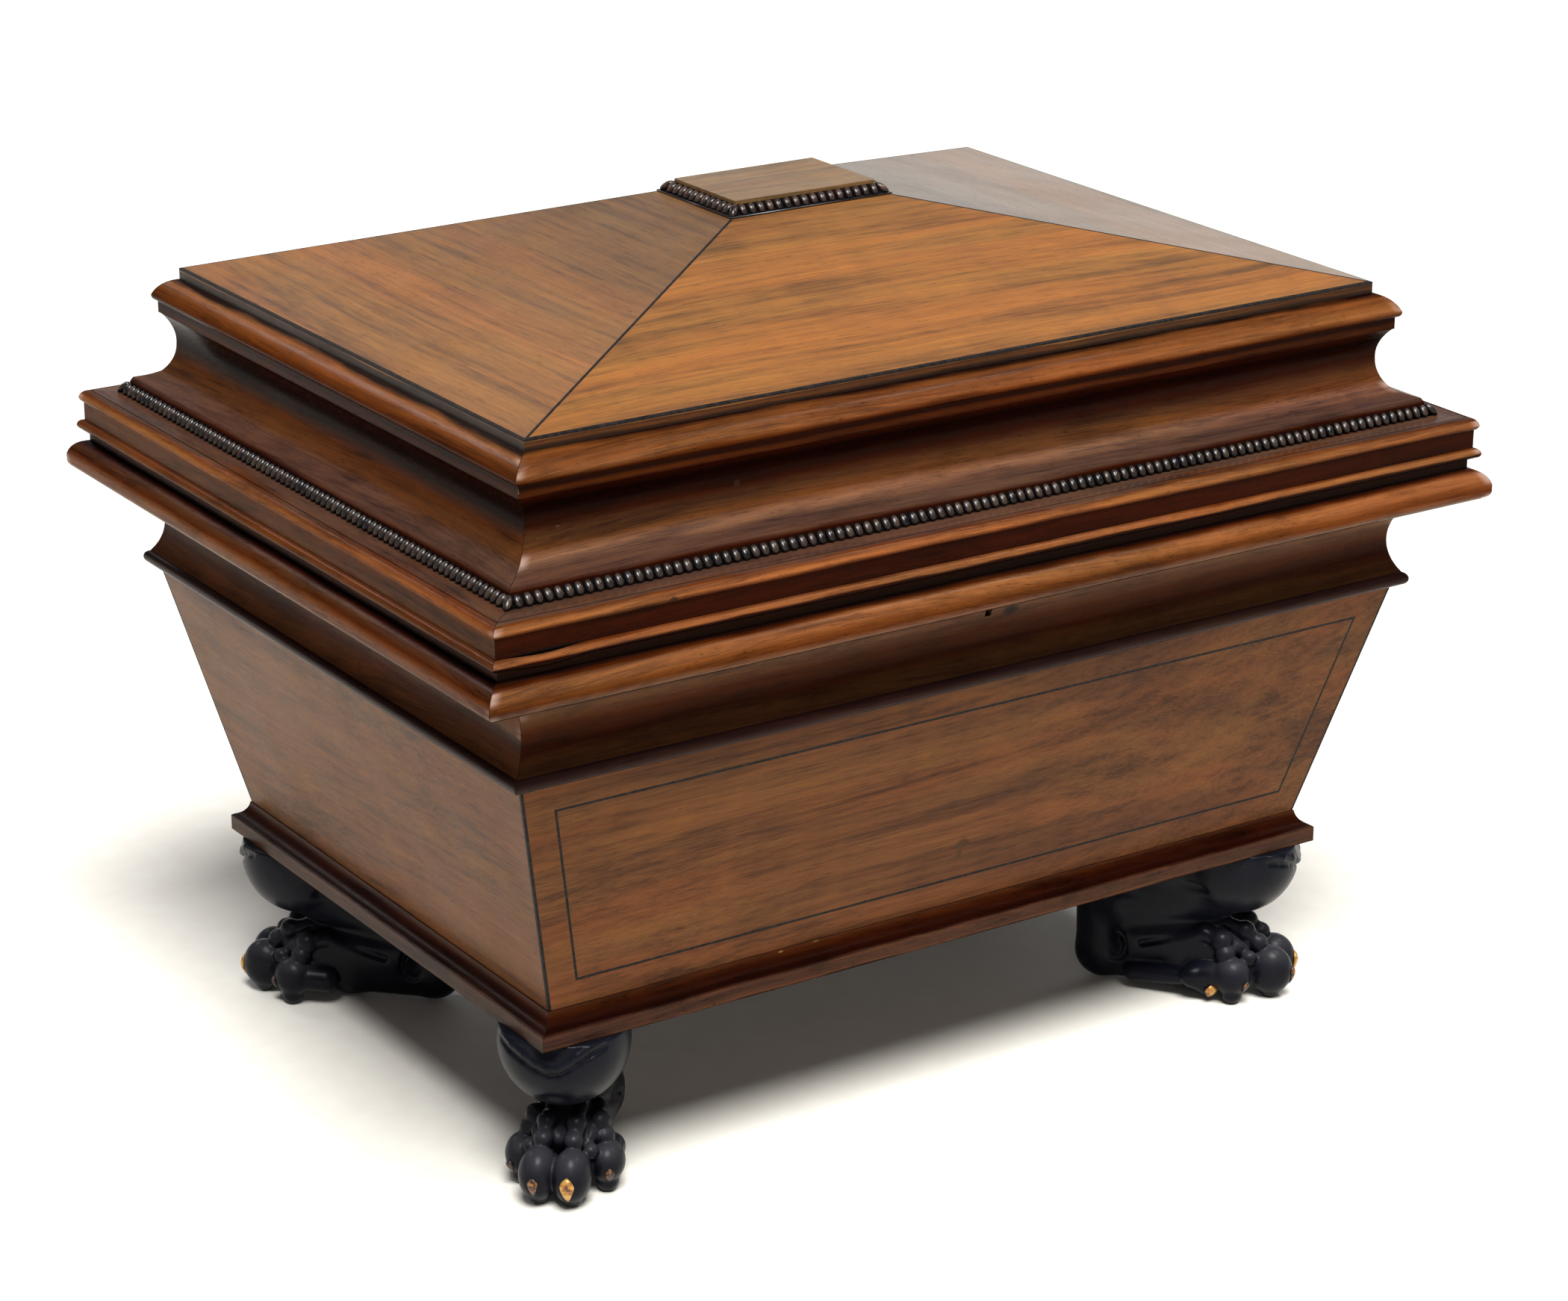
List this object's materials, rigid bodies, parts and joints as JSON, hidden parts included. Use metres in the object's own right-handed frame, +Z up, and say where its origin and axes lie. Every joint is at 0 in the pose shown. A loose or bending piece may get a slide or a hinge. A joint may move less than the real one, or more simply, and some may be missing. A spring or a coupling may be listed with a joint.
{
  "type": "cellarette",
  "caption": "Sarcophagus cellarette: a battered, lead-lined chest with bottle divisions and a hinged hipped lid, on lion's paw feet.",
  "frame": {"origin": "on the floor, under the middle of the object's box", "axes": "+Z up, +X along the long side, the front with the keyhole faces -Y"},
  "size_m": [0.904, 0.678, 0.6844],
  "materials": {
    "mahogany_roof": "waxed golden mahogany veneer, satin",
    "mahogany_panel": "French-polished red-brown mahogany",
    "mahogany_moulding": "French-polished dark mahogany with worn noses",
    "ebony_stringing": "ebony line, flush and polished",
    "ebonised_gadroon": "ebonised carving, worn brown on the high spots",
    "ebonised_paw": "ebonised carving, soft sheen, traces of gilding on the claws",
    "pine": "unfinished secondary wood, aged",
    "lead": "dull sheet lead",
    "brass": "aged brass",
    "steel": "dulled steel"
  },
  "bodies": {
    "carcass": {"panel_front": "mahogany_panel", "panel_back": "mahogany_panel", "panel_left": "mahogany_panel", "panel_right": "mahogany_panel", "frieze_front": "mahogany_moulding", "frieze_back": "mahogany_moulding", "frieze_left": "mahogany_moulding", "frieze_right": "mahogany_moulding", "rim_front": "mahogany_moulding", "rim_back": "mahogany_moulding", "rim_left": "mahogany_moulding", "rim_right": "mahogany_moulding", "plinth_moulding": "mahogany_moulding", "waist_bead": "mahogany_moulding", "carcass_bottom": "pine", "lead_lining_floor": "lead", "lead_lining_walls": "lead", "bottle_dividers_long": "mahogany_moulding", "bottle_dividers_cross": "mahogany_moulding", "arris_stringing": "ebony_stringing", "front_panel_stringing": "ebony_stringing", "paw_foot_front_left": "ebonised_paw", "paw_foot_front_right": "ebonised_paw", "paw_foot_back_left": "ebonised_paw", "paw_foot_back_right": "ebonised_paw", "foot_dowels": "pine", "hinge_lower_leaves": "brass", "hinge_pins": "steel", "hinge_lower_screws": "steel", "lock_case": "brass", "lock_cover": "brass", "lock_drill_pin": "steel", "lock_screws": "steel"},
    "lid": {"lid_base_front": "mahogany_moulding", "lid_base_back": "mahogany_moulding", "lid_base_left": "mahogany_moulding", "lid_base_right": "mahogany_moulding", "lid_cavetto_front": "mahogany_moulding", "lid_cavetto_back": "mahogany_moulding", "lid_cavetto_left": "mahogany_moulding", "lid_cavetto_right": "mahogany_moulding", "roof_front": "mahogany_roof", "roof_back": "mahogany_roof", "roof_left": "mahogany_roof", "roof_right": "mahogany_roof", "lid_bead": "mahogany_moulding", "lid_gadroon": "ebonised_gadroon", "cornice": "mahogany_moulding", "crown_block": "pine", "crown_gadroon": "ebonised_gadroon", "tablet": "mahogany_roof", "roof_glue_blocks": "pine", "roof_stringing": "ebony_stringing", "hinge_upper_leaves": "brass", "hinge_upper_screws": "steel", "strike_plate": "brass", "strike_screws": "steel"},
    "lock_bolt": {"lock_bolt": "steel"}
  },
  "joints": [
    {"name": "lid_hinge", "type": "hinge", "parent": "carcass", "child": "lid", "pos_m": [0, 0.333, 0.4621], "axis": [-1, 0, 0], "range_deg": [0, 95]},
    {"name": "lock_bolt_slide", "type": "slide", "parent": "carcass", "child": "lock_bolt", "axis": [0, 0, 1], "range_m": [0, 0.009]}
  ]
}
